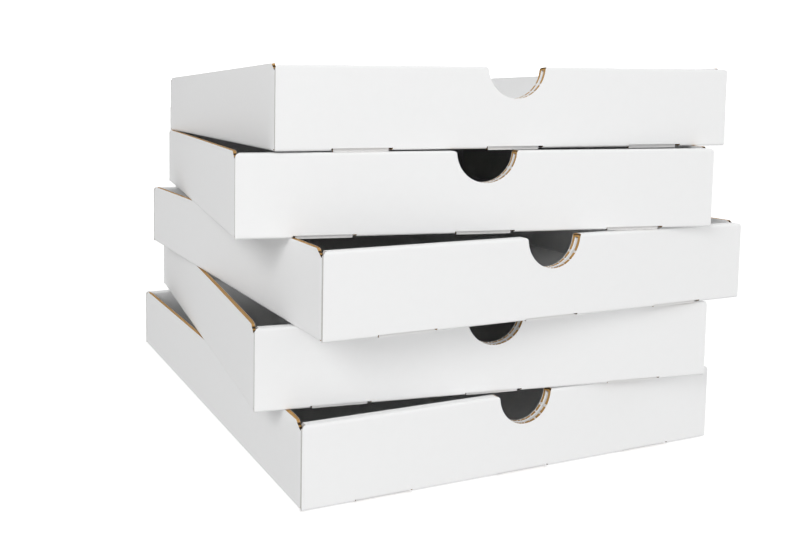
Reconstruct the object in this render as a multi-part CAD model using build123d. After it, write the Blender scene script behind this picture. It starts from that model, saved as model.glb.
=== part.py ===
from build123d import *
import os

# A stack of drawer trays, each folded from one sheet of white-lined corrugated board.
# Lengths are millimetres. A tray's front faces -Y, and its own origin is the middle of its underside.

# One tray, outside: the side walls stand a little above the rolled front and back walls
tray_width = 350.0
tray_depth = 386.0
tray_height = 56.5
side_rise = 1.0

# The board and its creases
board = 2.3
layer_gap = 0.15
crease_radius = 1.6
inside_crease_radius = 0.4

# The corners: side wall ends that fold into flaps, and the cuts that free them
flap_length = 33.0
flap_foot_gap = 0.6
corner_fall = 4.5
corner_relief = 1.5
shoulder_fall = 3.0

# The finger notch in the front wall
notch_radius = 22.0
notch_lip_radius = 2.2

# The lock tabs along the foot of the front and back walls
lock_count = 3
lock_pitch = 114.2
tab_width = 39.8
tab_proud = 1.0
tab_kink_height = 9.0
slot_side_gap = 2.1
slot_rise = 1.2

# How the trays lie on each other, from the floor up: shift to the right and to the back,
# as shares of the tray's width and depth, turn about the vertical in degrees, and the gap
# under which a tray counts as touching the one below
tray_names = ["bottom_drawer", "second_drawer", "third_drawer", "fourth_drawer", "top_drawer"]
shift_shares = [(0.0, 0.0), (0.005, 0.0118), (0.012, -0.0474), (-0.0043, 0.0015), (0.0361, 0.0155)]
turns = [0.0, -7.28, 0.0, -10.19, -6.53]
touch_gap = 0.01

# Every cut runs past the board by this much
cut_overrun = 4.0

# Depths behind the front face: flap, inner panel and whole rolled wall
flap_front = board + layer_gap
flap_back = flap_front + board
inner_panel_front = flap_back + layer_gap
wall_thickness = inner_panel_front + board

# The rolled-over strip and the inner panel go between the side walls
side_height = tray_height + side_rise
rolled_width = tray_width - 2 * flap_front
floor_clear = board + layer_gap
tab_kink_top = board + tab_kink_height
slot_width = tab_width + 2 * slot_side_gap
window_width = tab_width + 2 * layer_gap
lock_places = [lock_pitch * (n - (lock_count - 1) / 2) for n in range(lock_count)]


# Helpers
def block(x_low, x_high, y_low, y_high, z_low, z_high):
    """A straight block between two corners."""
    size = (x_high - x_low, y_high - y_low, z_high - z_low)
    return Pos(x_low, y_low, z_low) * Box(*size, align=Align.MIN)


def front_section(points, width, round_at):
    """Sweep a wall section along the front: points are (depth behind the front face, height)."""
    section = make_face(Polyline(*points, close=True))
    for radius, corners in round_at:
        for corner in corners:
            section = fillet(section.vertices().sort_by_distance(corner)[0], radius)
    front_plane = Plane(origin=(0, -tray_depth / 2, 0), x_dir=(0, 1, 0), z_dir=(1, 0, 0))
    return extrude(front_plane * section, amount=width / 2, both=True)


def at_both_ends(front):
    """The same feature at the front and, turned round, at the back."""
    return [front, Rot(0, 0, 180) * front]


def at_both_sides(left):
    """The same feature at the left and, mirrored, at the right."""
    return [left, mirror(left, about=Plane.YZ)]


# Floor and side walls, one U-shaped fold that stops short of the corner flaps
def floor_and_sides():
    half = tray_width / 2
    outside = [(-half, side_height), (-half, 0), (half, 0), (half, side_height)]
    inner = half - board
    inside = [(inner, side_height), (inner, board), (-inner, board), (-inner, side_height)]
    section = make_face(Polyline(*outside, *inside, close=True))
    for corner in outside[1:3]:
        section = fillet(section.vertices().sort_by_distance(corner)[0], crease_radius)
    for corner in inside[1:3]:
        section = fillet(section.vertices().sort_by_distance(corner)[0], inside_crease_radius)
    return extrude(Plane.XZ * section, amount=tray_depth / 2 - flap_back, both=True)


# Front-left corner: the side wall turns behind the front panel and becomes a flap
def corner_flap():
    left = -tray_width / 2
    front = -tray_depth / 2
    turn = block(left, left + board, front + flap_front, front + flap_back, corner_relief, tray_height)
    turn = fillet(turn.edges().filter_by(Axis.Z).sort_by_distance((left, front, 0))[0], crease_radius)
    flap = block(
        left + board, left + flap_length,
        front + flap_front, front + flap_back,
        board + flap_foot_gap, tray_height - corner_fall,
    )
    return turn + flap


# The top edge of both side walls falls away where it runs in behind the front panel
def corner_fall_cut():
    points = [
        (wall_thickness, side_height),
        (flap_front, tray_height - corner_fall),
        (flap_front - cut_overrun, tray_height - corner_fall),
        (flap_front - cut_overrun, side_height + cut_overrun),
        (wall_thickness, side_height + cut_overrun),
    ]
    return front_section(points, tray_width + cut_overrun, [])


# Outer panel of the front wall, with the crease that joins it to the floor
def outer_panel():
    points = [(0, 0), (0, tray_height), (board, tray_height), (board, 0)]
    panel = front_section(points, tray_width, [(crease_radius, points[:2])])
    strip = [(board, 0), (board, board), (wall_thickness, board), (wall_thickness, 0)]
    foot = front_section(strip, rolled_width, [])
    shoulder = make_face(
        Polyline(
            (tray_width / 2 + cut_overrun, tray_height - shoulder_fall),
            (tray_width / 2, tray_height - shoulder_fall),
            (rolled_width / 2, tray_height),
            (rolled_width / 2, tray_height + cut_overrun),
            (tray_width / 2 + cut_overrun, tray_height + cut_overrun),
            close=True,
        )
    )
    shoulder = extrude(Plane.XZ * shoulder, amount=tray_depth / 2 + cut_overrun)
    return panel + foot - at_both_sides(shoulder)


# Top strip and inner panel: the front wall rolled over and down inside
def rolled_panel():
    outside = [(0, tray_height), (wall_thickness, tray_height)]
    inside = [(inner_panel_front, tray_height - board), (board, tray_height - board)]
    points = [
        (0, tray_height / 2), *outside,
        (wall_thickness, floor_clear), (inner_panel_front, floor_clear),
        *inside, (board, tray_height / 2),
    ]
    return front_section(points, rolled_width, [(crease_radius, outside), (inside_crease_radius, inside)])


# Slot on the front crease, cut a little way up the outer panel, for one lock tab
def lock_slot(place):
    left = place - slot_width / 2
    right = place + slot_width / 2
    front = -tray_depth / 2
    behind = front + board
    in_panel = block(left, right, front - cut_overrun, behind, -cut_overrun, slot_rise)
    in_floor = block(left, right, behind, front + inner_panel_front, -cut_overrun, board + cut_overrun)
    return in_panel + in_floor


# Window that one lock tab leaves in the inner panel when it is pushed forward
def tab_window(place):
    front = -tray_depth / 2
    return block(
        place - window_width / 2, place + window_width / 2,
        front + inner_panel_front, front + wall_thickness + cut_overrun,
        0, tab_kink_top,
    )


# One lock tab, kinked forward from the inner panel and down through its slot
def lock_tab(place):
    points = [
        (inner_panel_front, tab_kink_top),
        (flap_front, floor_clear),
        (flap_front, -tab_proud),
        (flap_back, -tab_proud),
        (flap_back, floor_clear),
        (wall_thickness, tab_kink_top),
    ]
    return Pos(place, 0, 0) * front_section(points, tab_width, [])


# Half-round finger notch through the whole front wall, with rounded lips
def finger_notch():
    lip_reach = notch_radius + 2 * notch_lip_radius
    above = Pos(0, cut_overrun / 2) * Rectangle(2 * lip_reach, cut_overrun)
    outline = above + Circle(notch_radius)
    lips = outline.vertices().sort_by(lambda corner: abs(abs(corner.X) - notch_radius) + abs(corner.Y))[:2]
    outline = fillet(lips, notch_lip_radius)
    behind = wall_thickness + cut_overrun - tray_depth / 2
    start = Plane(origin=(0, behind, tray_height), x_dir=(1, 0, 0), z_dir=(0, -1, 0))
    return extrude(start * outline, amount=wall_thickness + 2 * cut_overrun)


# One whole tray, folded from one sheet
def drawer_tray():
    trough = floor_and_sides()
    for flap in at_both_sides(corner_flap()):
        trough += at_both_ends(flap)
    trough -= at_both_ends(corner_fall_cut())
    panels = outer_panel()
    rolled = rolled_panel()
    for place in lock_places:
        rolled -= tab_window(place)
    tray = trough + at_both_ends(panels)
    for place in lock_places:
        tray -= at_both_ends(lock_slot(place))
    tray += at_both_ends(rolled)
    for place in lock_places:
        tray += at_both_ends(lock_tab(place))
    return tray - finger_notch()


# The stack: each tray comes down on the one below until it touches, with its tabs or its underside
def stack_of(tray):
    placed = []
    level = tab_proud
    for shift, turn in zip(shift_shares, turns):
        spot = Pos(shift[0] * tray_width, shift[1] * tray_depth, level) * Rot(0, 0, turn)
        seated = spot * tray
        while placed and seated.distance_to(placed[-1]) > touch_gap:
            seated = Pos(0, 0, -seated.distance_to(placed[-1])) * seated
        placed.append(seated)
        level = seated.bounding_box().max.Z + tab_proud
    return placed


# The stack stands on z = 0, with the middle of its outline over the origin
trays = stack_of(drawer_tray())
outline = trays[0].bounding_box()
for tray in trays[1:]:
    outline = outline.add(tray.bounding_box())
middle = outline.center()
os.makedirs("parts", exist_ok=True)
for name, tray in zip(tray_names, trays):
    centred = Pos(-middle.X, -middle.Y, 0) * tray
    export_step(centred, f"parts/{name}.step")
    print(name, "volume", round(centred.volume), "top", round(centred.bounding_box().max.Z, 2))
print("stack", [round(length, 1) for length in outline.size])
print("moved by", round(-middle.X, 3), round(-middle.Y, 3))
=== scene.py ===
# %% [markdown]
# # A stack of cardboard drawers
#
# Shallow drawer trays lie a little askew on each other. Each one is folded from a single sheet
# of corrugated board: two white paper liners with brown wavy fluting between them. All that
# shows is white paper, soft folds, and the brown core wherever the board was cut.
#
# The CAD model already has every tray at its true size and place. This lesson dresses it: each
# tray is folded again as a fine mesh, so that the cut edges show their liners and fluting.

# %% Load the frame
import math
from collections import namedtuple

import bmesh
import bpy
from mathutils import Matrix, Vector


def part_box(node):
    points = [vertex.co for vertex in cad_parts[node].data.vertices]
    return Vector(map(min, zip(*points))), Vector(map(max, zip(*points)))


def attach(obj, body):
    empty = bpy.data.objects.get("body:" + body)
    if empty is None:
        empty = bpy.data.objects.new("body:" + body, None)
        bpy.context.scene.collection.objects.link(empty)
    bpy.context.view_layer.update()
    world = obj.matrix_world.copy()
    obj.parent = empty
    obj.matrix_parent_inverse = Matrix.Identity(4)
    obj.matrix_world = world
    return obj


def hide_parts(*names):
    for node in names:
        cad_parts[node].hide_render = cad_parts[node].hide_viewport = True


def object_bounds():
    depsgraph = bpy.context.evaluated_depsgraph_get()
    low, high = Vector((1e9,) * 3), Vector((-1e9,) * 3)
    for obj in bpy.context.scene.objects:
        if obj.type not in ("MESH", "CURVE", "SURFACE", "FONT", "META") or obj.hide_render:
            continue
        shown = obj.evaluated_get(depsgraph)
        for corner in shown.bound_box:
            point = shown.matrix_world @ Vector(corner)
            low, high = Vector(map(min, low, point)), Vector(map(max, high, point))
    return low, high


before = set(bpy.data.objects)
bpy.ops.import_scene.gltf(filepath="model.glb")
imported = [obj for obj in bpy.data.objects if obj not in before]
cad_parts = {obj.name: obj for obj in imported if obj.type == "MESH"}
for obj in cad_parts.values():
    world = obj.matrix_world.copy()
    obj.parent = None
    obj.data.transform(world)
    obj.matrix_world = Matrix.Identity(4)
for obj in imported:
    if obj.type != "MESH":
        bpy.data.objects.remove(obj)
cad_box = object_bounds()
MM = 0.001
trays = ["bottom_drawer", "second_drawer", "third_drawer", "fourth_drawer", "top_drawer"]
print("trays in the frame:", sorted(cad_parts))

# %% [markdown]
# ## One tray's sizes
#
# The lowest tray stands square to the axes, so its box gives the width, depth and height of
# them all. They could be typed in, but read from the frame they follow the CAD model. The rest
# are the small sizes of the folds: board, creases, tabs and notch. The side walls stand a little
# above the rolled front and back walls, and the tabs a little below the floor.
#
# All lengths from here on are millimetres, turned into metres when a mesh is made.

# %% Sizes of the sheet
tab_proud = 1.0
side_rise = 1.0
low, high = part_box("bottom_drawer")
tray_width = (high.x - low.x) / MM
tray_depth = (high.y - low.y) / MM
side_height = (high.z - low.z) / MM - tab_proud
tray_height = side_height - side_rise

board = 2.3
liner = 0.25
medium = 0.24
flute_pitch = 4.3
layer_gap = 0.15
crease_radius = 1.6
inside_radius = 0.4
print("one tray: %.1f wide, %.1f deep, %.1f high" % (tray_width, tray_depth, tray_height))

# %% Sizes of the corners, tabs and notch
flap_length = 33.0
flap_foot_gap = 0.6
corner_fall = 4.5
corner_relief = 1.5
shoulder_fall = 3.2
shoulder_power = 2.6
roll_end_gap = 0.9
notch_radius = 22.0
lip_radius = 2.2
lock_pitch = 114.2
tab_width = 39.8
kink_height = 9.0
slot_side_gap = 2.1
slot_rise = 1.2

flap_foot = board + flap_foot_gap
slot_width = tab_width + 2 * slot_side_gap
window_width = tab_width + 2 * layer_gap
kink_top = board + kink_height
flap_front = board + layer_gap
flap_back = flap_front + board
inner_front = flap_back + layer_gap
wall = inner_front + board
rolled_half = tray_width / 2 - board - roll_end_gap
print("rolled wall is %.2f thick" % wall)

# %% [markdown]
# ## Where each tray lies
#
# A tray's box in the frame holds both its place and its turn. A rectangle that is turned by an
# angle fills a box of width `w cos + d sin` and depth `w sin + d cos`, and those two equations
# give the angle back. Which way it turned shows in the foremost corner: on a tray turned
# clockwise that corner is right of the middle. The turns could be typed in too, but read this
# way they can't drift from the model.


# %% Read place and turn
def tray_place(node):
    """The matrix that carries a tray from its own frame to its place in the stack."""
    low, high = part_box(node)
    middle = (low + high) / 2
    wide, deep = (high - low).xy / MM
    scale = tray_width**2 - tray_depth**2
    cosine = (wide * tray_width - deep * tray_depth) / scale
    sine = (deep * tray_width - wide * tray_depth) / scale
    foremost = min(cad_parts[node].data.vertices, key=lambda v: v.co.y)
    clockwise = foremost.co.x > middle.x
    turn = math.atan2(sine, cosine) * (-1 if clockwise else 1)
    underside = high.z - side_height * MM
    print("%s turned %.2f degrees, underside at %.4f m" % (node, math.degrees(turn), underside))
    return Matrix.Translation((middle.x, middle.y, underside)) @ Matrix.Rotation(turn, 4, "Z")


places = {node: tray_place(node) for node in trays}

# %% [markdown]
# ## A sheet with two faces
#
# A folded tray could be a plain box with thickness, but then the edges would be dull. Here a
# patch of board is a grid of stations. Each station has a point on the outer liner and one on
# the inner liner, and cells of the grid can be left out, which cuts slots and windows. Wherever
# a kept cell borders nothing, the cut shows, and a narrow rim joins the two liners.
#
# Every vertex also carries its spot on the flat sheet: how far across the flutes, how far along
# them, and how deep in the board. The materials read that, so the paper runs round the folds.

# %% A mesh that remembers the flat sheet
# The fifth finish is painted shade: a near-black colour for the dark inside of open flutes. The sixth is
# a grey end edge, crushed board, and darker still as painted shade of the groove at the corner.
WHITE, CUT, LINER_EDGE, FLUTING, PAINTED_HOLLOW_SHADE, CRUSHED_AND_SHADED = range(6)
Station = namedtuple("Station", "outer inner across along")


class Sheet:
    """Collects the faces of one tray."""

    def __init__(self):
        self.mesh = bmesh.new()
        self.spot = self.mesh.verts.layers.float_vector.new("sheet")

    def vert(self, place, across, along, depth):
        """A vertex at a place, with its spot on the flat sheet."""
        made = self.mesh.verts.new(place * MM)
        made[self.spot] = Vector((across, along, depth)) * MM
        return made

    def face(self, corners, finish):
        """A face between vertices, with the number of its finish."""
        made = self.mesh.faces.new(corners)
        made.material_index = finish

    def patch(self, stations, kept, rim):
        """A piece of board: stations[row][column], kept(row, column) and the finish of each rim."""
        outer, inner = {}, {}
        for i, row in enumerate(stations):
            for j, spot in enumerate(row):
                if spot:
                    outer[i, j] = self.vert(spot.outer, spot.across, spot.along, 0)
                    inner[i, j] = self.vert(spot.inner, spot.across, spot.along, board)
        cells = {
            (i, j)
            for i in range(len(stations) - 1)
            for j in range(len(stations[0]) - 1)
            if kept(i, j)
        }
        for i, j in cells:
            ring = [(i, j), (i, j + 1), (i + 1, j + 1), (i + 1, j)]
            self.face([outer[key] for key in ring], WHITE)
            self.face([inner[key] for key in reversed(ring)], WHITE)
            beyond = [(i - 1, j), (i, j + 1), (i + 1, j), (i, j - 1)]
            for side, neighbour in enumerate(beyond):
                if neighbour in cells:
                    continue
                start, end = ring[side], ring[(side + 1) % 4]
                finish = rim(start, end)
                if finish is not None:
                    self.face([outer[end], outer[start], inner[start], inner[end]], finish)

    def drop_spare_verts(self):
        """Takes away stations that no kept cell used."""
        loose = [v for v in self.mesh.verts if not v.link_faces]
        bmesh.ops.delete(self.mesh, geom=loose, context="VERTS")


tray_sheet = Sheet()
print("vertices remember:", tray_sheet.mesh.verts.layers.float_vector.keys())


# %% Lines of marks and quarter turns
def filled(marks, widest):
    """The marks, with even steps between them so that no gap is wider than asked."""
    marks = sorted(marks)
    line = [marks[0]]
    for start, end in zip(marks, marks[1:]):
        steps = max(1, math.ceil((end - start) / widest))
        line += [start + (end - start) * n / steps for n in range(1, steps + 1)]
    return line


def quarter(steps):
    """The angles of a quarter turn in even steps."""
    return [math.pi / 2 * n / steps for n in range(steps + 1)]


print("a gap of nine in steps of four at most:", filled([0, 9], 4))

# %% [markdown]
# ## The cut edge
#
# Seen end on, corrugated board is two thin white lines with a brown wave between them. A picture
# of that could be painted on, but it would stay flat when the light changes. So the cut gets
# real depth: a lip for each liner, a groove between them, and a ribbon of fluting in the groove.
# Where the cut runs along the flutes, the ribbon wanders slowly from liner to liner. Where it
# crosses them, the ribbon comes and goes, or the groove is deep, with walls painted near black:
# painted shade for a flute's dark mouth.

# %% Section of a cut
Cut = namedtuple("Cut", "point inward across along depth fray lips ribbon swing floor")


def flute_swing(across):
    """Which liner the fluting touches: -1 at the outer one, 1 at the inner one, and in between."""
    return math.cos(2 * math.pi * across / flute_pitch)


def cut_section(sheet, cut):
    """The ten corners of the edge at one cut: two lips with the groove between, then the ribbon.
    The cut's point(share) is on the edge, share of the way from the outer to the inner face."""
    near, far = cut.lips[0] / board, 1 - cut.lips[1] / board
    half = cut.ribbon / board / 2
    middle = (near + far) / 2 + ((far - near) / 2 - half) * cut.swing
    foot = cut.depth - cut.fray / 2
    shares = [0, near, near, far, far, 1, middle - half, middle + half, middle + half, middle - half]
    sunk = [0, 0, cut.depth, cut.depth, 0, 0, cut.fray, cut.fray, foot, foot]
    return [
        sheet.vert(cut.point(q) + cut.inward * d, cut.across, cut.along, q * board)
        for q, d in zip(shares, sunk)
    ]


print("fluting swings from", flute_swing(0), "to", flute_swing(flute_pitch / 2))

# %% Lips, groove and ribbon
LIP_TOPS = [(0, 1), (4, 5)]
GROOVE = [(1, 2), (3, 4), (2, 3)]
RIBBON = [(6, 7), (7, 8), (8, 9), (9, 6)]
RIBBON_START = 6


def fluted_edge(sheet, cuts):
    """The raw edge along a line of cuts. A stretch that borders a hollow is painted near black, as
    painted shade for the dark mouth of a flute, and where the ribbon has no thickness it is left out."""
    sections = [cut_section(sheet, cut) for cut in cuts]

    def strip(n, sides, finish):
        here, there = sections[n], sections[n + 1]
        for a, b in sides:
            sheet.face([here[a], here[b], there[b], there[a]], finish)

    shown = []
    for n, (cut, after) in enumerate(zip(cuts, cuts[1:])):
        # Painted shade: at a flute's mouth the groove walls take the near-black finish.
        mouth = PAINTED_HOLLOW_SHADE in (cut.floor, after.floor)
        strip(n, LIP_TOPS, FLUTING if mouth else LINER_EDGE)
        strip(n, GROOVE, PAINTED_HOLLOW_SHADE if mouth else cut.floor)
        shown.append(cut.ribbon > 0 and after.ribbon > 0)
        if shown[-1]:
            strip(n, RIBBON, FLUTING)
    for section, before, after in zip(sections[1:], shown, shown[1:]):
        if before != after:
            sheet.face(section[RIBBON_START:], FLUTING)


print("strips along a cut edge:", len(LIP_TOPS + GROOVE + RIBBON))

# %% [markdown]
# ## Floor, side walls and corner flaps
#
# The floor and both side walls are one trough. At each end a side wall turns the corner and
# goes on as a flap, hidden inside the rolled wall. Its top edge is a raw cut, where the board
# swells inwards a little. It runs level, then falls away to dip in behind the front panel.
#
# The trough could be three flat boards set edge to edge, but then its creases would be sharp. So it
# is one grid: rows climb down the left wall, cross the floor and climb the right wall, and columns
# run from flap to flap, with finer steps wherever the sheet bends.

# %% Lines across the tray
seam_half = 170.0
notch_reach = 40.0
floor_step = 12.0
lock_edges = [tab_width / 2, window_width / 2, slot_width / 2]
lock_places = [-lock_pitch, 0, lock_pitch]
half_marks = [0, notch_reach, lock_pitch, seam_half]
half_marks += lock_edges
half_marks += [lock_pitch + sign * edge for edge in lock_edges for sign in (-1, 1)]
half_line = filled(half_marks, floor_step)
floor_line = [-x for x in reversed(half_line[1:])] + half_line
print("lines across the floor:", len(floor_line))

# %% Rows of the trough
TroughRow = namedtuple("TroughRow", "part side x z x_in z_in")
edge_flare = 1.1
flare_depth = 4.0
flare_start = 10.0
wall_step = 9.0
bend_steps = 4
crease_clear = 1.0
first_plain = board + inside_radius + crease_clear
flare_marks = [side_height - flare_depth, side_height - flare_depth / 3, side_height]


def side_rows(side):
    """Rows of one side wall, from its top down to the floor."""
    rows = []
    for z in reversed(filled([first_plain, kink_top, *flare_marks], wall_step)):
        rows.append(TroughRow("wall", side, None, z, None, z))
    for a in quarter(bend_steps):
        part = "wall" if a == 0 else "bend"
        x = tray_width / 2 - crease_radius * (1 - math.cos(a))
        x_in = tray_width / 2 - board - inside_radius * (1 - math.cos(a))
        z = crease_radius * (1 - math.sin(a))
        z_in = board + inside_radius * (1 - math.sin(a))
        rows.append(TroughRow(part, side, side * x, z, side * x_in, z_in))
    return rows


floor_rows = [TroughRow("floor", 0, x, 0, x, board) for x in floor_line]
trough_rows = side_rows(-1) + floor_rows + side_rows(1)[::-1]
print("rows of the trough:", len(trough_rows))

# %% Columns of the trough
TroughColumn = namedtuple("TroughColumn", "part x s x_in s_in")
flap_step = 11.0
side_step = 4.0
slope_step = 0.6
slope_lead = 2.2
slope_start = wall + slope_lead
inner_lead = 1.5 * inside_radius


def corner_columns():
    """Columns from a flap's end, round the corner, to where the rolled wall ends."""
    half = tray_width / 2
    flap_root = half - board - 2 * inside_radius - crease_clear
    columns = []
    for x in filled([half - flap_length, flap_root], flap_step):
        columns.append(TroughColumn("flap", x, flap_front, x, flap_back))
    for a in reversed(quarter(bend_steps)):
        x = half - crease_radius * (1 - math.cos(a))
        s = flap_front + crease_radius * (1 - math.sin(a))
        x_in = half - board - inside_radius * (1 - math.cos(a))
        s_in = flap_back + inside_radius * (1 - math.sin(a))
        columns.append(TroughColumn("turn", x, s, x_in, s_in))
    for s in filled([flap_back, wall], slope_step)[:-1]:
        share = (wall - s) / (wall - flap_back)
        columns.append(TroughColumn("end", half, s, half - board, s + inner_lead * share))
    return columns


body_steps = filled([wall, slope_start], slope_step)[:-1]
body_steps += filled([slope_start, tray_depth / 2], side_step)
front_half = corner_columns() + [
    TroughColumn("body", tray_width / 2, s, tray_width / 2 - board, s) for s in body_steps
]
trough_columns = [(column, -1) for column in front_half]
trough_columns += [(column, 1) for column in reversed(front_half[:-1])]
print("columns of the trough:", len(trough_columns))


# %% Stations of the trough
def y_at(s, end):
    """Distance s behind the front (end -1) or back (end 1) face, as a place along the tray."""
    return end * (tray_depth / 2 - s)


def fallen(s):
    """How much of its whole fall a side wall's top edge has made, a distance s behind the front."""
    return max(0.0, (slope_start - s) / (slope_start - flap_front))


def flare(row, column):
    """How far the board swells inwards at its cut top edge."""
    rise = max(0.0, 1 - (side_height - row.z) / flare_depth)
    reach = min(1.0, max(0.0, (column.s - wall) / flare_start))
    return edge_flare * rise**2 * reach


def trough_station(row, column, end):
    """The station at a row and a column, or None where the sheet has been cut away."""
    y, y_in = y_at(column.s, end), y_at(column.s_in, end)
    if row.part != "wall":
        if column.part in ("flap", "turn") or (row.part == "floor" and column.part == "end"):
            return None
        outer = Vector((row.x, y, row.z))
        inner = Vector((row.x_in, y_in, row.z_in))
        return Station(outer, inner, row.x, y)
    z, z_in = row.z, row.z_in
    if z > kink_top:
        top = side_height - (side_rise + corner_fall) * fallen(column.s)
        drop = (side_height - top) * (z - kink_top) / (side_height - kink_top)
        z, z_in = z - drop, z_in - drop
    if row.x is not None and column.part in ("flap", "turn"):
        z = z_in = flap_foot if column.part == "flap" else corner_relief
    outer = Vector((row.side * column.x, y, z))
    inner = Vector((row.side * (column.x_in - flare(row, column)), y_in, z_in))
    across = row.side * (tray_width / 2 + z)
    along = y + end * (tray_width / 2 - column.x)
    return Station(outer, inner, across, along)


trough = [[trough_station(row, *column) for column in trough_columns] for row in trough_rows]
cut_away = sum(line.count(None) for line in trough)
print("stations of the trough:", len(trough) * len(trough[0]) - cut_away)


# %% Lay the trough
def trough_kept(i, j):
    """Whether the sheet still has this cell."""
    corners = (trough[i][j], trough[i + 1][j], trough[i][j + 1], trough[i + 1][j + 1])
    return None not in corners


def trough_rim(start, end):
    """A rim's finish, or None where the side wall's fluted edge or the rolled wall goes on."""
    rows = {start[0], end[0]}
    parts = {trough_columns[start[1]][0].part, trough_columns[end[1]][0].part}
    if rows == {0} or rows == {len(trough_rows) - 1}:
        return CUT if parts == {"flap"} or parts == {"flap", "turn"} else None
    if {trough_rows[i].part for i in rows} == {"floor"}:
        return None
    return CUT


tray_sheet.patch(trough, trough_kept, trough_rim)
print("faces with the trough:", len(tray_sheet.mesh.faces))

# %% The raw top edge of a side wall
# Over these shares of its fall the slope is brown, on the left wall (-1) and on the right one (1);
# elsewhere on the slope the groove is painted near black, as painted shade of the flutes' hollows
slope_browns = {-1: [(0.0, 0.28), (0.45, 0.6)], 1: [(0.0, 0.05), (0.45, 0.6)]}
level_groove = 0.2
slope_groove = 2.4
level_fray = 0.05
top_lips = (0.1, 0.1)
flute_skew = 0.012


def side_top(sheet, row):
    """The raw top edge of a side wall. Level, it lays a flute open along its length. Where it
    falls to the corner it cuts across the flutes, and its deep groove is painted near black as
    painted shade of their hollows."""
    browns = slope_browns[trough_rows[row].side]
    cuts = []
    for (shape, _), spot in zip(trough_columns, trough[row]):
        if shape.part == "flap":
            continue
        brown = any(start <= fallen(shape.s) < stop for start, stop in browns)
        # Off the brown shares the deep groove gets the near-black finish: painted shade.
        cuts.append(Cut(
            point=lambda q, spot=spot: spot.outer.lerp(spot.inner, q),
            inward=Vector((0, 0, -1)),
            across=spot.across,
            along=spot.along,
            depth=level_groove if brown else slope_groove,
            fray=level_fray,
            lips=top_lips,
            ribbon=medium if brown else 0.0,
            swing=flute_swing(spot.outer.z + flute_skew * spot.outer.y),
            floor=FLUTING if brown else PAINTED_HOLLOW_SHADE,
        ))
    for tip in (0, -1):
        cuts[tip] = cuts[tip]._replace(depth=0.0, lips=(0.0, 0.0), ribbon=0.0)
    fluted_edge(sheet, cuts)


for top_row in (0, len(trough_rows) - 1):
    side_top(tray_sheet, top_row)
print("faces with the side walls' cut edges:", len(tray_sheet.mesh.faces))

# %% [markdown]
# ## The rolled front and back walls
#
# The front wall is one strip of the same sheet, rolled: up from the floor, over the top, and
# down inside. Its outer panel is a little wider than the rest, with rounded shoulders. Three tabs
# along its foot are cut free, kinked forward and pushed through slots in the bottom crease, which
# locks the roll. The finger notch goes through both layers.
#
# Its grid has rows along the roll and columns across the tray. The notch could be cut by a
# boolean, but a grid that bends round it keeps clean quads and gives the rim's stations for
# free: in each row, the columns near the middle are pushed out to the notch's edge.

# %% The notch's outline
lip_middle = math.sqrt((notch_radius + lip_radius) ** 2 - lip_radius**2)
lip_foot = lip_radius * notch_radius / (notch_radius + lip_radius)


def notch_half(z):
    """Half the notch's width at a height: a half circle with rounded lips at its top."""
    below = tray_height - z
    if below >= notch_radius:
        return 0.0
    if below > lip_foot:
        return math.sqrt(notch_radius**2 - below**2)
    return lip_middle - math.sqrt(max(0.0, lip_radius**2 - (lip_radius - below) ** 2))


print("notch is %.1f wide at its lips" % (2 * notch_half(tray_height)))

# %% Rows of a rolled wall
RollRow = namedtuple("RollRow", "part s z s_in z_in")
roll_bend_steps = 5
notch_steps = 60
shoulder_step = 0.7
tab_step = 1.6
bend_clear = 0.3
last_plain = tray_height - board - inside_radius - bend_clear


def panel_heights(notched):
    """Heights of the rows up a panel, close together where the notch or a shoulder curves."""
    heights = filled([first_plain, kink_top, tray_height - notch_radius], wall_step)
    if not notched:
        shoulder = tray_height - shoulder_fall
        heights += filled([heights[-1], shoulder], wall_step)[1:]
        return heights + filled([shoulder, last_plain], shoulder_step)[1:]
    widest = math.acos((tray_height - last_plain) / notch_radius)
    turns = [widest * n / notch_steps for n in range(1, notch_steps + 1)]
    return heights + [tray_height - notch_radius * math.cos(a) for a in turns]


def roll_rows(notched):
    """Rows of the strip, from the floor round to the inner panel's foot and on to the tabs' tips."""
    r, ri, h = crease_radius, inside_radius, tray_height
    rows = [RollRow("foot", s, 0, s, board) for s in (wall, inner_front)]
    slot_angle = math.acos(1 - slot_rise / r)
    for a in sorted(quarter(bend_steps) + [slot_angle]):
        part = "foot" if a == 0 else "outer"
        turn = (r * (1 - math.sin(a)), r * (1 - math.cos(a)))
        turn_in = (board + ri * (1 - math.sin(a)), board + ri * (1 - math.cos(a)))
        rows.append(RollRow(part, *turn, *turn_in))
    rows += [RollRow("outer", 0, z, board, z) for z in panel_heights(notched)]
    for a in quarter(roll_bend_steps):
        turn = (r * (1 - math.cos(a)), h - r * (1 - math.sin(a)))
        turn_in = (board + ri * (1 - math.cos(a)), h - board - ri * (1 - math.sin(a)))
        rows.append(RollRow("outer", *turn, *turn_in))
    rows.append(RollRow("strip", wall / 2, h, wall / 2, h - board))
    for a in quarter(roll_bend_steps):
        turn = (wall - r * (1 - math.sin(a)), h - r * (1 - math.cos(a)))
        turn_in = (inner_front - ri * (1 - math.sin(a)), h - board - ri * (1 - math.cos(a)))
        rows.append(RollRow("inner", *turn, *turn_in))
    down = [z for z in reversed(panel_heights(notched)) if z >= kink_top]
    rows += [RollRow("inner", wall, z, inner_front, z) for z in down]
    foot = board + layer_gap
    lock = reversed(filled([foot, kink_top], tab_step)[:-1])
    rows += [RollRow("lock", wall, z, inner_front, z) for z in lock]
    rows += [RollRow("tip", wall, z, inner_front, z) for z in (foot / 2, -tab_proud)]
    return rows


print("rows of a rolled wall:", len(roll_rows(True)), "with a notch,", len(roll_rows(False)), "without")

# %% Columns of a rolled wall
roll_columns = [-math.inf] + [-x for x in reversed(half_line)] + half_line + [math.inf]
split = len(half_line)


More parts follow.
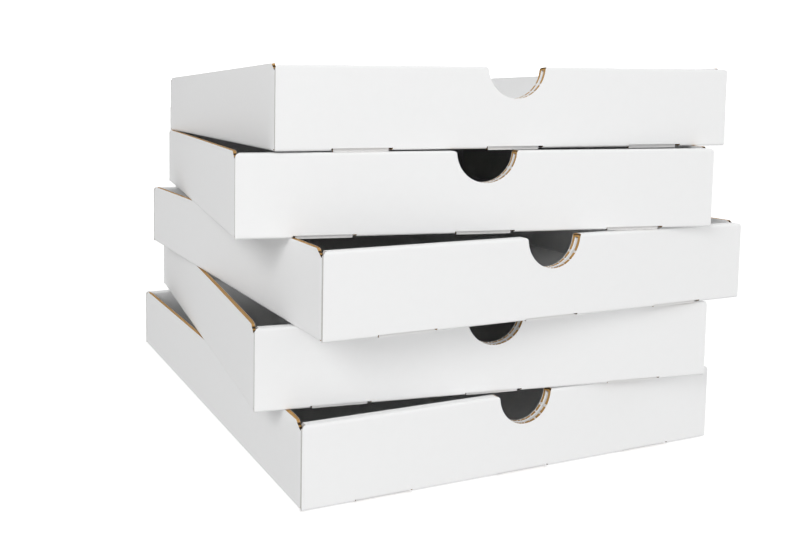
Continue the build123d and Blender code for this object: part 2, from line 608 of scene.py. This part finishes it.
def strip_end(row):
    """Half the strip's width: the outer panel covers the corners, with its shoulders rounded off."""
    if row.part != "outer":
        return rolled_half
    share = max(0.0, 1 - (tray_height - row.z) / shoulder_fall)
    cover = (1 - share**shoulder_power) ** (1 / shoulder_power)
    return rolled_half + (tray_width / 2 - rolled_half) * cover


def column_place(column, side, notch, end):
    """A column's place across the tray, pushed out where the notch is."""
    if math.isinf(column):
        return side * end
    reach = abs(column)
    if reach < notch_reach:
        reach = notch + reach * (notch_reach - notch) / notch_reach
    return side * reach


print("columns of a rolled wall:", len(roll_columns))


# %% Tabs and their slots
def lock_place(x):
    """The lock place whose tab or slot could hold this column, or None."""
    near = min(lock_places, key=lambda place: abs(place - x))
    return near if abs(near - x) <= slot_width / 2 + layer_gap / 2 else None


def in_tab(column):
    """Whether a column lies in a lock tab."""
    if math.isinf(column) or lock_place(column) is None:
        return False
    return abs(column - lock_place(column)) <= (tab_width + layer_gap) / 2


def tab_share(z):
    """How far a tab has moved forward at this height, eased in and out of its kink."""
    share = min(1.0, (kink_top - z) / (kink_top - board - layer_gap))
    return share * share * (3 - 2 * share)


print("columns in the tabs:", sum(in_tab(column) for column in roll_columns))


# %% Stations of a rolled wall
def roll_station(row, column, side, notched):
    """The outer and the inner point of a station on the front wall."""
    notch, notch_in = 0.0, 0.0
    if notched and row.part != "foot":
        notch, notch_in = notch_half(row.z), notch_half(row.z_in)
    x = column_place(column, side, notch, strip_end(row))
    x_in = column_place(column, side, notch_in, strip_end(row))
    forward = 0.0
    if row.part in ("lock", "tip") and in_tab(column):
        forward = (wall - flap_back) * tab_share(row.z)
    outer = Vector((x, y_at(row.s - forward, -1), row.z))
    inner = Vector((x_in, y_at(row.s_in - forward, -1), row.z_in))
    return outer, inner


def roll_stations(notched, end):
    """All stations of the front (end -1) or back (end 1) wall, with the path along the roll."""
    stations = []
    path = 0.0
    before = None
    for row in roll_rows(notched):
        here = Vector((row.s, row.z))
        path += (here - before).length if before else 0.0
        before = here
        line = []
        for j, column in enumerate(roll_columns):
            side = -1 if j <= split else 1
            outer, inner = roll_station(row, column, side, notched)
            if end > 0:
                half_turn = Vector((-1, -1, 1))
                outer, inner = outer * half_turn, inner * half_turn
            line.append(Station(outer, inner, outer.x, end * (tray_depth / 2 - wall + path)))
        stations.append(line)
    return stations


half_sheet = abs(roll_stations(notched=True, end=-1)[-1][0].along)
print("half the flat sheet is about %.0f long" % half_sheet)


# %% Lay a rolled wall
def lay_roll(sheet, notched, end):
    """The front or back wall as a patch, with its slots and the windows of its tabs left out."""
    rows = roll_rows(notched)
    slot_end = next(i for i, row in enumerate(rows) if row.part == "outer" and row.z >= slot_rise)
    lock_start = next(i for i, row in enumerate(rows) if row.part == "lock") - 1
    last_lock = max(i for i, row in enumerate(rows) if row.part == "lock")
    last_column = len(roll_columns) - 1

    def kept(i, j):
        if j == split:
            return False
        ends = roll_columns[j], roll_columns[j + 1]
        if any(math.isinf(x) for x in ends):
            return i < last_lock
        middle = sum(ends) / 2
        place = lock_place(middle)
        off = abs(middle - place) if place is not None else math.inf
        if 1 <= i < slot_end and off < slot_width / 2:
            return False
        if i >= lock_start and off < window_width / 2:
            return off < tab_width / 2
        return i < last_lock

    def rim(start, finish):
        columns = {start[1], finish[1]}
        if columns in ({split}, {split + 1}):
            return None
        if start[0] == finish[0] == 0:
            return CUT if columns & {0, last_column} else None
        # The panel's ends are grey: crushed board, and darker still as painted shade of the corner
        # groove.
        if columns in ({0}, {last_column}):
            return CRUSHED_AND_SHADED
        return CUT

    sheet.patch(roll_stations(notched, end), kept, rim)


lay_roll(tray_sheet, notched=True, end=-1)
lay_roll(tray_sheet, notched=False, end=1)
print("faces with the rolled walls:", len(tray_sheet.mesh.faces))

# %% [markdown]
# ## The rim of the notch
#
# On the front wall the flutes stand upright. Low down the notch crosses many of them, so the brown
# ribbon shows in short dashes. Further up it runs along a flute, and the dashes grow long. The punch
# also pushed the hidden liner of each panel a little way into the roll, where it shows as a white
# curl. A bump could hint at all that, but the eye goes to the notch first, so it is modelled.

# %% The ribbon in dashes
rim_depth = 1.1
cap_depth = 0.3
rim_fray = 0.1
rim_play = 0.06
rim_lips = {"outer": (0.08, 0.02), "strip": (0.08, 0.02), "inner": (0.4, 0.02)}
cap_line = 0.9
dash_start = 0.1
dash_share = 0.79


def notch_inward(z, side):
    """The way from the notch's edge into the board."""
    below = tray_height - z
    if below < lip_foot:
        return Vector((side, 0, 0))
    return Vector((side * notch_half(z), 0, -below)).normalized()


def rim_cut(row, side):
    """The cut at one row of the rim. Its cap, over the roll, is brown, with a near-black mouth at
    the top that is painted shade.
    """

    def point(q):
        z = row.z + (row.z_in - row.z) * q
        s = row.s + (row.s_in - row.s) * q
        return Vector((side * notch_half(z), y_at(s, -1), z))

    across = point(0.5).x
    lips = rim_lips[row.part]
    room = board - sum(lips)
    depth, ribbon, swing, floor = rim_depth, room - rim_play, 0.0, LINER_EDGE
    if row.z > last_plain:
        depth, floor = cap_depth, FLUTING
    # Painted shade: the top of the cap gets the near-black finish of a flute's mouth.
    if row.z > tray_height - cap_line:
        ribbon, swing, floor = room - cap_line, 1.0, PAINTED_HOLLOW_SHADE
    if (dash_start + (notch_radius - abs(across)) / flute_pitch) % 1 >= dash_share:
        ribbon = 0.0
    return Cut(
        point=point,
        inward=notch_inward(row.z, side),
        across=across,
        along=row.z,
        depth=depth,
        fray=rim_fray,
        lips=lips,
        ribbon=ribbon,
        swing=swing,
        floor=floor,
    )


weld = 0.002
rim_low = tray_height - notch_radius - weld
rim_rows = [row for row in roll_rows(True) if row.part in rim_lips and row.z >= rim_low]
print("cuts along half the rim:", len(rim_rows))

# %% The curled liners and the whole rim
curl_reach = 1.25
curl_sink = 0.35
curl_depth = 0.8
curl_clear = 0.02


def curled_liner(sheet, cuts):
    """Where the punch went through, the hidden liner of a panel curls a little way into the roll."""
    sections = []
    for cut in cuts:
        away = (cut.point(1) - cut.point(0)).normalized()
        root = cut.point(1) + (away + cut.inward) * curl_clear
        tip = cut.point(1) + away * curl_reach + cut.inward * curl_sink
        heel = cut.point(1) + away * curl_clear + cut.inward * curl_depth
        sections.append([sheet.vert(place, cut.across, cut.along, board) for place in (root, tip, heel)])
    for here, there in zip(sections, sections[1:]):
        for a, b in ((0, 1), (1, 2), (2, 0)):
            sheet.face([here[a], here[b], there[b], there[a]], WHITE)
    sheet.face(sections[-1], WHITE)


def notch_rim(sheet):
    """Both halves of the rim, each running up the outer panel, over the top and down inside."""
    for side in (-1, 1):
        cuts = [rim_cut(row, side) for row in rim_rows]
        fluted_edge(sheet, cuts)
        straight = [cut for cut in cuts if cut.depth == rim_depth]
        half = len(straight) // 2
        curled_liner(sheet, straight[:half])
        curled_liner(sheet, straight[half:][::-1])


notch_rim(tray_sheet)
print("faces with the rim:", len(tray_sheet.mesh.faces))

# %% [markdown]
# ## One whole tray
#
# The real tray is one sheet, so its mesh is one skin too. The patches and edges above could stay
# loose beside each other, but light would leak through the seams. They share their border points
# instead, and a weld closes them. Only ribbons and curls stay closed skins of their own.

# %% Weld the tray
sharp_angle = 38.0


def welded(sheet):
    """The sheet as one skin: the mesh of one tray in its own frame."""
    sheet.drop_spare_verts()
    bmesh.ops.remove_doubles(sheet.mesh, verts=sheet.mesh.verts, dist=weld * MM)
    bmesh.ops.recalc_face_normals(sheet.mesh, faces=sheet.mesh.faces)
    open_edges = sum(1 for edge in sheet.mesh.edges if not edge.is_manifold)
    print("tray mesh:", len(sheet.mesh.faces), "faces,", open_edges, "edges that are not closed")
    mesh = bpy.data.meshes.new("folded_tray")
    sheet.mesh.to_mesh(mesh)
    sheet.mesh.free()
    mesh.shade_smooth()
    mesh.set_sharp_from_angle(angle=math.radians(sharp_angle))
    return mesh


tray_mesh = welded(tray_sheet)

# %% [markdown]
# ## Shader maths as Python
#
# Materials are built from nodes. Each node and link could be made by lines of its own, but that is
# long and hard to read. So one small class wraps a socket: sums of sockets are written like sums
# of numbers, and one method makes any other node.

# %% A socket that can do sums
MIX_RESULT, MIX_DARK, MIX_LIGHT = 2, 6, 7


class Wire:
    """A node's output in a material."""

    def __init__(self, tree, socket=None):
        self.tree = tree
        self.socket = socket

    def node(self, kind, settings, sockets, out=0):
        """A new node with these settings, its inputs set or wired, as a wire from one output."""
        made = self.tree.nodes.new(kind)
        for name, value in settings.items():
            setattr(made, name, value)
        for name, value in sockets.items():
            if isinstance(value, Wire):
                self.tree.links.new(value.socket, made.inputs[name])
            else:
                made.inputs[name].default_value = value
        return Wire(self.tree, made.outputs[out])

    def maths(self, operation, first, second=0.0):
        """One sum with one or two numbers, each a socket or plain."""
        return self.node("ShaderNodeMath", {"operation": operation}, {0: first, 1: second})

    def __add__(self, other):
        return self.maths("ADD", self, other)

    __radd__ = __add__

    def __sub__(self, other):
        return self.maths("SUBTRACT", self, other)

    def __rsub__(self, other):
        return self.maths("SUBTRACT", other, self)

    def __mul__(self, other):
        return self.maths("MULTIPLY", self, other)

    __rmul__ = __mul__

    def __lt__(self, other):
        return self.maths("LESS_THAN", self, other)

    def __gt__(self, other):
        return self.maths("GREATER_THAN", self, other)

    def __abs__(self):
        return self.maths("ABSOLUTE", self)

    def cosine(self):
        return self.maths("COSINE", self)

    def axis(self, name):
        """One number of this vector: X, Y or Z."""
        return self.node("ShaderNodeSeparateXYZ", {}, {"Vector": self}, out=name)

    def noise(self, scale, detail, roughness=0.55):
        """Cloudy noise from 0 to 1 over this vector, with features about 1/scale metres wide."""
        return self.node(
            "ShaderNodeTexNoise", {"noise_dimensions": "3D"},
            {"Vector": self, "Scale": scale, "Detail": detail, "Roughness": roughness},
        )

    def blend(self, dark, light):
        """A colour between two, by this value."""
        made = self.node("ShaderNodeMix", {"data_type": "RGBA"}, {0: self}, out=MIX_RESULT)
        for socket, colour in ((MIX_DARK, dark), (MIX_LIGHT, light)):
            target = made.socket.node.inputs[socket]
            if isinstance(colour, Wire):
                self.tree.links.new(colour.socket, target)
            else:
                target.default_value = (*colour, 1.0)
        return made


# %% Starting a finish
def new_finish(name, roughness):
    """A material, its shader, and a wire to draw nodes from."""
    material = bpy.data.materials.new(name)
    material.use_nodes = True
    shader = material.node_tree.nodes["Principled BSDF"]
    shader.inputs["Roughness"].default_value = roughness
    return material, shader, Wire(material.node_tree)


def plug(wire, shader, name):
    """Joins a wire to one of the shader's sockets."""
    wire.tree.links.new(wire.socket, shader.inputs[name])


def sheet_spot(wire):
    """The spot on the flat sheet in metres: X across the flutes, Y along them, Z into the board."""
    return wire.node("ShaderNodeAttribute", {"attribute_name": "sheet"}, {}, out="Vector")


def flute_wave(spot):
    """The wave of the fluting: 1 where it touches the inner liner, -1 at the outer one."""
    return (spot.axis("X") * (2 * math.pi / (flute_pitch * MM))).cosine()


print("the fluting's wave repeats every %.1f" % flute_pitch)

# %% [markdown]
# ## White liner
#
# The liner is clay-coated paper: white, matt, with faint clouds where the fibres lie thicker. A
# picture of paper could give them, but it would repeat and blur close up, and noise does neither.
# The flutes under the liner print through as a very shallow washboard, which a low bump gives. Both
# are kept so weak that they only show when the light grazes the board.

# %% White paper
paper_light = (0.895, 0.897, 0.897)
paper_shade = (0.863, 0.865, 0.865)
paper_roughness = 0.66
cloud_roughness = 0.16
paper_specular = 0.3
cloud_scale, cloud_detail, cloud_part = 140.0, 4.0, 0.6
speck_scale, speck_detail, speck_part = 900.0, 2.0, 0.4
grain_scale, grain_detail, grain_part = 2600.0, 3.0, 0.5
washboard_part = 0.25
bump_strength = 0.35
bump_height = 0.02


def white_liner():
    """The coated paper on both faces of the board."""
    material, shader, wire = new_finish("white liner", paper_roughness)
    spot = sheet_spot(wire)
    clouds = cloud_part * spot.noise(cloud_scale, cloud_detail)
    clouds = clouds + speck_part * spot.noise(speck_scale, speck_detail)
    plug(clouds.blend(paper_shade, paper_light), shader, "Base Color")
    plug(paper_roughness + cloud_roughness * clouds, shader, "Roughness")
    grain = spot.noise(grain_scale, grain_detail)
    height = washboard_part * flute_wave(spot) + grain_part * grain
    bump = wire.node(
        "ShaderNodeBump", {},
        {"Strength": bump_strength, "Distance": bump_height * MM, "Height": height},
        out="Normal",
    )
    plug(bump, shader, "Normal")
    shader.inputs["Specular IOR Level"].default_value = paper_specular
    return material


white_paper = white_liner()
print("made the", white_paper.name)

# %% [markdown]
# ## Brown fluting and cut edges
#
# The fluting is raw brown paper, rough and a little uneven in colour. Smaller cuts, such as the
# edges of slots and tabs, could have a groove too, but they are hardly seen. There the material
# draws the section: it knows each spot's depth in the board and its place across the flutes, so it
# can tell liner, fluting and hollow apart, and it paints the hollows near black as painted shade.
# A near-black finish of its own is painted shade too, for flute mouths in the deeper grooves, and
# the grey of the rolled walls' ends is crushed board, darker still as painted shade of the corner.

# %% Brown paper and plain cuts
kraft_light = (0.54, 0.31, 0.10)
kraft_dark = (0.42, 0.235, 0.07)
# Painted shade: near-black browns for the inside of open flutes.
painted_hollow_brown = (0.09, 0.05, 0.02)
painted_hollow_black = (0.05, 0.028, 0.012)
edge_light = (0.88, 0.87, 0.85)
edge_shade = (0.81, 0.795, 0.765)
# Grey for the rolled walls' ends: crushed board, darker still as painted shade of the corner groove.
crushed_and_shaded_light = (0.66, 0.655, 0.64)
crushed_and_shaded_dark = (0.54, 0.53, 0.51)
cut_roughness = 0.88
raw_roughness = 0.9
fibre_detail = 3.0
cut_fibre_scale = 900.0
raw_fibre_scale = 800.0


def cut_board():
    """A plain cut across the board, with its section drawn on it; the hollows between the flutes are
    painted shade.
    """
    material, shader, wire = new_finish("cut board", cut_roughness)
    spot = sheet_spot(wire)
    from_middle = spot.axis("Z") - board * MM / 2
    off_wave = abs(from_middle - flute_wave(spot) * ((board / 2 - liner - medium / 2) * MM))
    in_fluting = off_wave < medium * MM
    in_liner = abs(from_middle) > (board / 2 - liner) * MM
    fibres = spot.noise(cut_fibre_scale, fibre_detail)
    # Painted shade: off the fluting, the core between the liners is drawn near black.
    core = in_fluting.blend(painted_hollow_brown, fibres.blend(kraft_dark, kraft_light))
    plug(in_liner.blend(core, edge_light), shader, "Base Color")
    return material


def plain_paper(name, dark, light):
    """Paper of one kind, cloudy between two colours."""
    material, shader, wire = new_finish(name, raw_roughness)
    fibres = sheet_spot(wire).noise(raw_fibre_scale, fibre_detail)
    plug(fibres.blend(dark, light), shader, "Base Color")
    return material


finishes = [
    white_paper,
    cut_board(),
    plain_paper("liner edge", edge_shade, edge_light),
    plain_paper("brown fluting", kraft_dark, kraft_light),
    plain_paper("painted hollow shade", painted_hollow_black, painted_hollow_brown),
    plain_paper("crushed edge and painted shade", crushed_and_shaded_dark, crushed_and_shaded_light),
]
for material in finishes:
    tray_mesh.materials.append(material)
print("finishes:", [material.name for material in finishes])

# %% [markdown]
# ## Five trays
#
# All trays come off the same die, so they share one mesh shape. Board never stays quite flat,
# though: the long side walls lean in a little between their corners, on each tray by a different
# amount. A lattice could bend them, but a short formula does. It moves the vertices of a copy of the
# mesh, and only inwards, so that the tray keeps its size.

# %% Lean the walls and set the trays down
side_leans = {
    "bottom_drawer": (0.5, 0.7),
    "second_drawer": (0.8, 0.4),
    "third_drawer": (0.3, 0.6),
    "fourth_drawer": (0.6, 0.5),
    "top_drawer": (0.4, 0.8),
}
lean_margin = 1.0


def lean_walls(mesh, left, right):
    """Moves the upper parts of the side walls inwards between the corners."""
    edge = tray_width / 2 - board - edge_flare - lean_margin
    for vertex in mesh.vertices:
        x, y, z = vertex.co / MM
        reach = abs(y) / (tray_depth / 2 - wall)
        if abs(x) > edge and reach < 1 and z > board:
            share = (1 - reach**2) * (z / tray_height) ** 2
            vertex.co.x += (left if x < 0 else -right) * share * MM


for node in trays:
    mesh = tray_mesh.copy()
    lean_walls(mesh, *side_leans[node])
    tray = bpy.data.objects.new(node + "_board", mesh)
    bpy.context.scene.collection.objects.link(tray)
    tray.matrix_world = places[node]
    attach(tray, "root")
    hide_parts(node)
print("trays folded:", len(trays))

# %% [markdown]
# ## Floor and backdrop
#
# The stack stands on a pale floor before a white backdrop, as in a catalogue. Paper lit by lamps
# would do, but it turns grey away from them. So floor and backdrop glow a little by themselves and
# stay white from every side, and neither throws light back on the trays.

# %% Pale floor and backdrop
floor_half = 30.0
backdrop_radius = 28.0
backdrop_height = 40.0
backdrop_sides = 96
floor_glow = 0.42
backdrop_glow = 1.2
paint_roughness = 0.9
paint_colour = (0.9, 0.9, 0.9, 1.0)
white = (1.0, 1.0, 1.0, 1.0)


def studio_paint(stand, name, glow):
    """Pale paint with a faint glow of its own, which throws no light back on the trays."""
    paint, shader, _ = new_finish(name, paint_roughness)
    shader.inputs["Base Color"].default_value = paint_colour
    shader.inputs["Emission Color"].default_value = white
    shader.inputs["Emission Strength"].default_value = glow
    stand.data.materials.append(paint)
    stand.visible_diffuse = False


bpy.ops.mesh.primitive_plane_add(size=2 * floor_half, location=(0, 0, 0))
floor = bpy.context.object
floor.name = "floor"
studio_paint(floor, "pale floor", floor_glow)

bpy.ops.mesh.primitive_cylinder_add(
    vertices=backdrop_sides, radius=backdrop_radius, depth=backdrop_height, end_fill_type="NOTHING"
)
backdrop = bpy.context.object
backdrop.name = "backdrop"
studio_paint(backdrop, "white backdrop", backdrop_glow)
backdrop.visible_glossy = False
backdrop.visible_shadow = False
print("floor reaches %.0f m, backdrop stands at %.0f m" % (floor_half, backdrop_radius))

# %% [markdown]
# ## Light
#
# White board needs soft light from all round, or its faces part into black and white. A dome gives
# that: brighter at the back and the right and dim at the left, so the left sides fall a little into
# shade. Two large lamps add to it, a low wide one in front, which reaches into the gaps between the
# trays, and one high at the front left.

# %% Dome of light
dome_back = 1.4
dome_front = 0.88
dome_left = 0.23
dome_right = 1.8
dome_top = 0.45
dome_below = 0.55
front_fade = (-0.2, 0.5)
left_fade = (0.0, 0.75)
right_fade = (0.4, 0.9)
top_fade = (0.4, 0.95)
below_fade = (0.0, 0.08)

world = bpy.data.worlds.new("studio")
bpy.context.scene.world = world
world.use_nodes = True
sky = Wire(world.node_tree)
direction = sky.node("ShaderNodeTexCoord", {}, {}, out="Generated")
sideways = direction.axis("X")
forwards = direction.axis("Y")
upwards = direction.axis("Z")


def fade(value, start, end):
    """0 below the start, 1 beyond the end, eased in between."""
    return value.node(
        "ShaderNodeMapRange", {"interpolation_type": "SMOOTHSTEP"},
        {"Value": value, "From Min": start, "From Max": end, "To Min": 0.0, "To Max": 1.0},
    )


brightness = dome_back + fade(0 - forwards, *front_fade) * (dome_front - dome_back)
brightness = brightness + fade(0 - sideways, *left_fade) * (dome_left - brightness)
brightness = brightness + fade(sideways, *right_fade) * (dome_right - brightness)
brightness = brightness + fade(upwards, *top_fade) * (dome_top - brightness)
brightness = brightness + fade(0 - upwards, *below_fade) * (dome_below - brightness)
dome = world.node_tree.nodes["Background"]
world.node_tree.links.new(brightness.socket, dome.inputs["Strength"])
dome.inputs["Color"].default_value = white
print("dome from %.2f at the left to %.2f at the right" % (dome_left, dome_right))


# %% Soft lamps
def soft_lamp(name, place, width, height, power):
    """A large soft lamp that faces the middle of the stack and doesn't show in the picture itself."""
    lamp = bpy.data.lights.new(name, "AREA")
    lamp.shape = "RECTANGLE"
    lamp.size = width
    lamp.size_y = height
    lamp.energy = power
    holder = bpy.data.objects.new(name, lamp)
    bpy.context.scene.collection.objects.link(holder)
    target = (Vector(cad_box[0]) + Vector(cad_box[1])) / 2
    aim = target - Vector(place)
    holder.rotation_euler = aim.to_track_quat("-Z", "Y").to_euler()
    holder.location = place
    holder.visible_camera = False
    print("lamp %s stands %.1f m off" % (name, aim.length))


soft_lamp("low front", place=(-1.0, -5.0, 0.26), width=4.0, height=0.5, power=34.0)
soft_lamp("high left", place=(-2.5, -1.65, 1.7), width=1.5, height=1.5, power=47.5)

# %% [markdown]
# ## Camera
#
# The camera stands low at the front left, near the height of the top tray, and looks a little down.
# A turned camera could centre the stack, but then its edges would run together differently. Here
# the lens is shifted instead, which moves the picture and keeps the perspective.

# %% Camera
camera_place = (-396.22, -644.63, 264.63)
camera_turn = 19.743
camera_pitch = -4.353
camera_roll = 0.071
focal_pixels = 808.04
picture = (800, 535)
axis_pixel = (215.2, 161.05)
sensor = 36.0
nearest = 0.01

lens = bpy.data.cameras.new("camera")
lens.sensor_width = sensor
lens.lens = focal_pixels / picture[0] * lens.sensor_width
lens.shift_x = (picture[0] / 2 - axis_pixel[0]) / picture[0]
lens.shift_y = (axis_pixel[1] - picture[1] / 2) / picture[0]
lens.clip_start = nearest
camera = bpy.data.objects.new("camera", lens)
bpy.context.scene.collection.objects.link(camera)
upright = Matrix.Rotation(math.radians(90 + camera_pitch), 4, "X")
turned = Matrix.Rotation(math.radians(-camera_turn), 4, "Z") @ upright
rolled = turned @ Matrix.Rotation(math.radians(camera_roll), 4, "Z")
camera.matrix_world = Matrix.Translation(Vector(camera_place) * MM) @ rolled
bpy.context.scene.camera = camera
bpy.context.scene.view_settings.view_transform = "Standard"
print("lens %.2f mm" % lens.lens)
